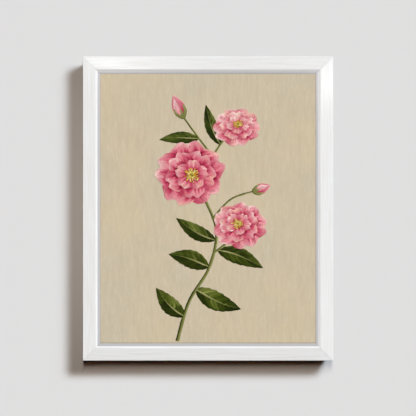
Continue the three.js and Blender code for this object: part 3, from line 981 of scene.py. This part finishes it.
def stemLayers(line, rng):
    seed = rng.uniform(1, 9)
    low, high = stem["height"]
    points = line["points"]
    length = lengthOf(points)
    first, last = line["width"]

    def place(along, across):
        spot, direction = alongCurve(points, clamped(along))
        half = (first + (last - first) * along) / 2
        half *= 1 + 0.18 * wander(along * length * 0.06, seed)
        return spot + sideways(direction) * half * across, half

    def shape(along, across):
        spot, half = place(along, across)
        turnedAway = smooth(-0.2, 0.9, across + 0.5 * wander(along * 9, seed))
        shade = coats("sage", ("dark", turnedAway), ("light", smooth(0.1, -0.7, across) * 0.35))
        return spot, low + 0.1 * (1 - across * across), (along * length, across * half), shade

    yield "stem", shape, seed
    touches = max(4, round(stem["touches"] * length / 200))
    for index in range(touches):
        start = (index + rng.random() * 0.6) / touches
        side = rng.uniform(-0.6, 0.7)
        reach = rng.uniform(0.5, 1.3) / touches
        spots = [place(min(1, start + reach * k / 2), side)[0] for k in range(3)]
        colour = paints[rng.choice(("light", "sage", "straw") if side < 0.1 else ("moss", "leaf", "sage"))]
        yield dab(spots, rng.uniform(1.1, 2.0), low, high, colour, rng.uniform(1, 9))


# stamens: fine threads round a green eye, each with a grain of pollen
stamens = {"threads": 34, "reach": 0.21, "height": (0.9, 1.2), "eyeTouches": 7}


def stamenLayers(flower, rng):
    low, high = stamens["height"]
    centre, radius = leaned(flower, 0.4), flower["radius"]

    def towards(angle, out):
        return centre + Vector((math.sin(angle), math.cos(angle) * flower["squash"])) * out * radius

    for index in range(stamens["eyeTouches"]):
        angle = index * 0.9
        points = [towards(angle, 0.075), towards(angle + 1.2, 0.03), towards(angle + 2.6, 0.06)]
        colour = paints[("lime", "ochre", "umber")[index % 3]]
        yield dab(points, radius * 0.07, low, high - 0.05, colour, rng.uniform(1, 9))
    for index in range(stamens["threads"]):
        angle = index * math.tau / stamens["threads"] + rng.uniform(-0.1, 0.1)
        reach = stamens["reach"] * rng.uniform(0.7, 1.1)
        bend = rng.uniform(-0.2, 0.2)
        tip = towards(angle + bend, reach)
        points = [towards(angle, 0.04), towards(angle + bend * 0.4, reach * 0.6), tip]
        colour = paints[rng.choice(("lemon", "yellow", "ochre"))]
        yield dab(points, radius * 0.02, low, high, colour, rng.uniform(1, 9))
        along = (tip - centre).normalized() * radius * 0.018
        grain = [tip - along, tip, tip + along]
        colour = paints[rng.choice(("yellow", "ochre", "umber", "lemon"))]
        yield dab(grain, radius * 0.045, low + 0.15, high + 0.14, colour, rng.uniform(1, 9))


# buds: a few furled petals with sepals round the foot
bud = {
    "height": 0.4,
    "strokes": 16,
    "petals": [
        {"shift": 0.0, "reach": 1.0, "girth": 1.0, "foot": "rose", "rim": "soft"},
        {"shift": -0.2, "reach": 0.95, "girth": 0.62, "foot": "deep", "rim": "pink"},
        {"shift": 0.2, "reach": 0.86, "girth": 0.6, "foot": "pink", "rim": "pale"},
    ],
    "sepals": ((-0.42, 0.5), (0.4, 0.46), (0.0, 0.4)),  # how far to the side and along the bud
}


def furledPetal(furled, petal, top, seed):
    shift = petal["shift"]
    base, length = Vector(furled["base"]), Vector(furled["tip"]) - Vector(furled["base"])
    offset = sideways(length.normalized()) * shift * furled["width"] * 0.8
    tip, width = base + length * petal["reach"] + offset * 0.25, furled["width"] * petal["girth"]
    place, reach = bladePlace({"base": base, "tip": tip, "width": width, "bend": shift * 0.35})

    def tint(out, side):
        shown = smooth(0.2, 0.95, out + 0.3 * wander(side * 4, out, seed))
        under = smooth(0.2, 1.0, side * (1 if shift <= 0 else -1)) * 0.6
        return coats(petal["foot"], (petal["rim"], shown), ("deep", under))

    def shape(along, across):
        height = top * (0.8 + 0.2 * (1 - across * across))
        return place(along, across), height, (along * reach, across * 8), tint(along, across)

    return place, tint, ("leaf", shape, seed)


def budLayers(furled, rng):
    base, width = Vector(furled["base"]), furled["width"]
    length = Vector(furled["tip"]) - base
    for order, petal in enumerate(bud["petals"]):
        top = bud["height"] + 0.1 * order
        place, tint, layer = furledPetal(furled, petal, top, rng.uniform(1, 9))
        yield layer
        for _ in range(bud["strokes"]):
            side, start = rng.uniform(-0.8, 0.8), rng.uniform(0.08, 0.6)
            points = [place(start + 0.14 * k, side) for k in range(3)]
            colour = varied(tint(start + 0.15, side), rng.choice((-0.15, 0.05, 0.18)))
            girth = width * rng.uniform(0.06, 0.12)
            yield dab(points, girth, top - 0.04, top + 0.05, colour, rng.uniform(1, 9))
    top = bud["height"] + 0.26
    for side, reach in bud["sepals"]:
        aside = sideways(length.normalized()) * side * width
        foot, end = base - length * 0.04, base + length * reach + aside
        points = [foot, (foot + end) / 2 + aside * 0.35, end]
        for lift, name, share in ((0.0, "moss", 0.26), (0.06, "sage", 0.1)):
            colours = paints[name], rng.uniform(1, 9), paints["light"]
            yield dab(points, width * share, top - 0.1, top + lift, *colours, taper=0.6, kind="long")


def makePainting():
    rng = random.Random(spray["seed"])
    leafPaint, petalPaint, stamenPaint, budPaint = (paintMaterial(name) for name in paint["roughness"])
    stems = [layer for line in spray["stems"] for layer in stemLayers(line, rng)]
    leaves = [layer for blade in spray["leaves"] for layer in leafLayers(blade, rng)]
    paintPiece("paintedStems", stems, leafPaint, "paint_foliage")
    paintPiece("paintedLeaves", leaves, leafPaint, "paint_foliage")
    for name, flower in spray["blossoms"].items():
        title = name.capitalize()
        petals, threads = blossomLayers(flower, rng), stamenLayers(flower, rng)
        paintPiece("paintedBlossom" + title, petals, petalPaint, "paint_blossom_" + name)
        paintPiece("paintedStamens" + title, threads, stamenPaint, "paint_stamens_" + name)
    for name, furled in spray["buds"].items():
        title = name.capitalize()
        paintPiece("paintedBud" + title, budLayers(furled, rng), budPaint, "paint_bud_" + name)


# stage: the wall that the picture hangs on
wall = {
    "albedo": 0.8,
    "width": 8.0,
    "height": 6.0,
    "gap": 0.0003,  # behind the wall pads
    # painted shadow: the wall is painted darker beside the left rail, more so away from the palest height,
    # between these distances from the frame's left side, foot and top
    "palest": 0.022,
    "paintedShadowDeepening": 2.95,
    "across": ((-0.0415, -0.0165), (-0.002, 0.002)),
    "foot": (-0.0285, -0.018),
    "top": (-0.0212, -0.0127),
}


def wallColourWithPaintedShadow(tree):
    parts = axes(tree, objectVector(tree))
    start, end = ([railLow.x + distance for distance in distances] for distances in wall["across"])
    # painted shadow beside the left rail, deeper with the square of the height away from the palest
    away = maths(tree, "SUBTRACT", parts["Z"], centreZ + wall["palest"])
    depth = times(
        tree, away, away, wall["paintedShadowDeepening"],
        ranged(tree, parts["X"], *start),
        ranged(tree, parts["X"], *end, 1.0, 0.0),
        ranged(tree, parts["Z"], *(footZ + distance for distance in wall["foot"])),
        ranged(tree, parts["Z"], *(railHigh.z + distance for distance in wall["top"]), 1.0, 0.0),
    )
    return grey(tree, ranged(tree, depth, 0.0, 1.0, wall["albedo"], 0.0))


def makeStage():
    material, tree, shader = newMaterial("wallPaint", {"Roughness": 0.95, "Specular IOR Level": 0.0})
    fillSockets(tree, shader, {"Base Color": wallColourWithPaintedShadow(tree)})
    # from behind, and for shadows, the wall isn't there
    clear = addNode(tree, "BsdfTransparent").outputs[0]
    behind = addNode(tree, "NewGeometry").outputs["Backfacing"]
    shadow = addNode(tree, "LightPath").outputs["Is Shadow Ray"]
    gone = maths(tree, "MAXIMUM", behind, shadow)
    surface = addNode(tree, "MixShader", {0: gone, 1: shader.outputs[0], 2: clear}).outputs[0]
    output = next(node for node in tree.nodes if node.type == "OUTPUT_MATERIAL")
    fillSockets(tree, output, {"Surface": surface})
    bm = bmesh.new()
    bmesh.ops.create_grid(bm, x_segments=1, y_segments=1, size=0.5)
    bmesh.ops.scale(bm, vec=(wall["width"], wall["height"], 1), verts=bm.verts)
    place = Matrix.Translation((0, wall["gap"], centreZ)) @ Matrix.Rotation(math.radians(90), 4, "X")
    bmesh.ops.transform(bm, matrix=place, verts=bm.verts)
    putInScene("wall", meshFrom("wall", bm, material))
    print("wall made")


# suns: the way towards each as its shares of right, back and up, its colour, and its width in degrees
suns = {
    "keyLeft": ((0.86, -1.0, 1.08), (1.31, 1.39, 1.47), 12),
    "keyMiddle": ((1.08, -1.0, 0.92), (1.11, 1.21, 1.28), 12),
    "keyRight": ((1.35, -1.0, 1.08), (0.54, 0.66, 0.78), 12),
    "frontLowest": ((0.02, -1.0, 0.1), (0.06, 0.01, 0.0), 9),
    "frontLow": ((0.02, -1.0, 0.22), (0.15, 0.12, 0.08), 9),
    "frontMiddle": ((0.02, -1.0, 0.36), (0.41, 0.35, 0.31), 9),
    "frontHigh": ((0.02, -1.0, 0.55), (0.38, 0.36, 0.31), 9),
    "frontTop": ((0.02, -1.0, 0.8), (0.42, 0.38, 0.35), 9),
    "behindLeft": ((0.35, 1.0, 0.45), (0.8, 0.8, 0.8), 20),
    "behindRight": ((-0.5, 1.0, 0.15), (0.5, 0.5, 0.5), 25),
}
# lamps seen only as soft reflections in the lacquer, placed from the middle of the cloth
glints = {
    "topGlint": {"at": (-0.2, -0.645, 0.368), "power": 2.7, "radius": 0.04},
    "rightGlint": {"at": (0.253, -0.284, 0.247), "power": 0.6, "radius": 0.02},
}
# brightness of the empty room in reflections and to the camera
room = {"glossy": 0.3, "seen": 0.78}


def makeLight(name, kind, **settings):
    data = bpy.data.lights.new(name, kind)
    for key, value in settings.items():
        setattr(data, key, value)
    return putInScene(name, data)


def makeLights():
    for name, (towards, colour, width) in suns.items():
        made = makeLight(name, "SUN", energy=1.0, color=colour, angle=math.radians(width))
        made.rotation_mode = "QUATERNION"
        made.rotation_quaternion = Vector(towards).to_track_quat("Z", "Y")
        made.visible_glossy = not name.startswith("front")
    for name, glint in glints.items():
        made = makeLight(name, "POINT", energy=glint["power"], shadow_soft_size=glint["radius"])
        made.location = Vector(glint["at"]) + Vector((0, 0, centreZ))
        made.visible_camera = made.visible_diffuse = False
    world = bpy.data.worlds.new("room")
    world.use_nodes = True
    tree = world.node_tree
    tree.nodes.clear()
    path = addNode(tree, "LightPath").outputs
    glossy = times(tree, path["Is Glossy Ray"], room["glossy"])
    seen = times(tree, path["Is Camera Ray"], room["seen"])
    strength = maths(tree, "ADD", glossy, seen)
    background = addNode(tree, "Background", {"Color": (1, 1, 1, 1), "Strength": strength}).outputs[0]
    addNode(tree, "OutputWorld", {"Surface": background})
    scene.world = world
    scene.view_settings.view_transform = "Standard"
    print("lights made")


makeCamera()
makeStage()
makeLights()
dressFrame()
makeCloth()
makeStaples()
makePainting()
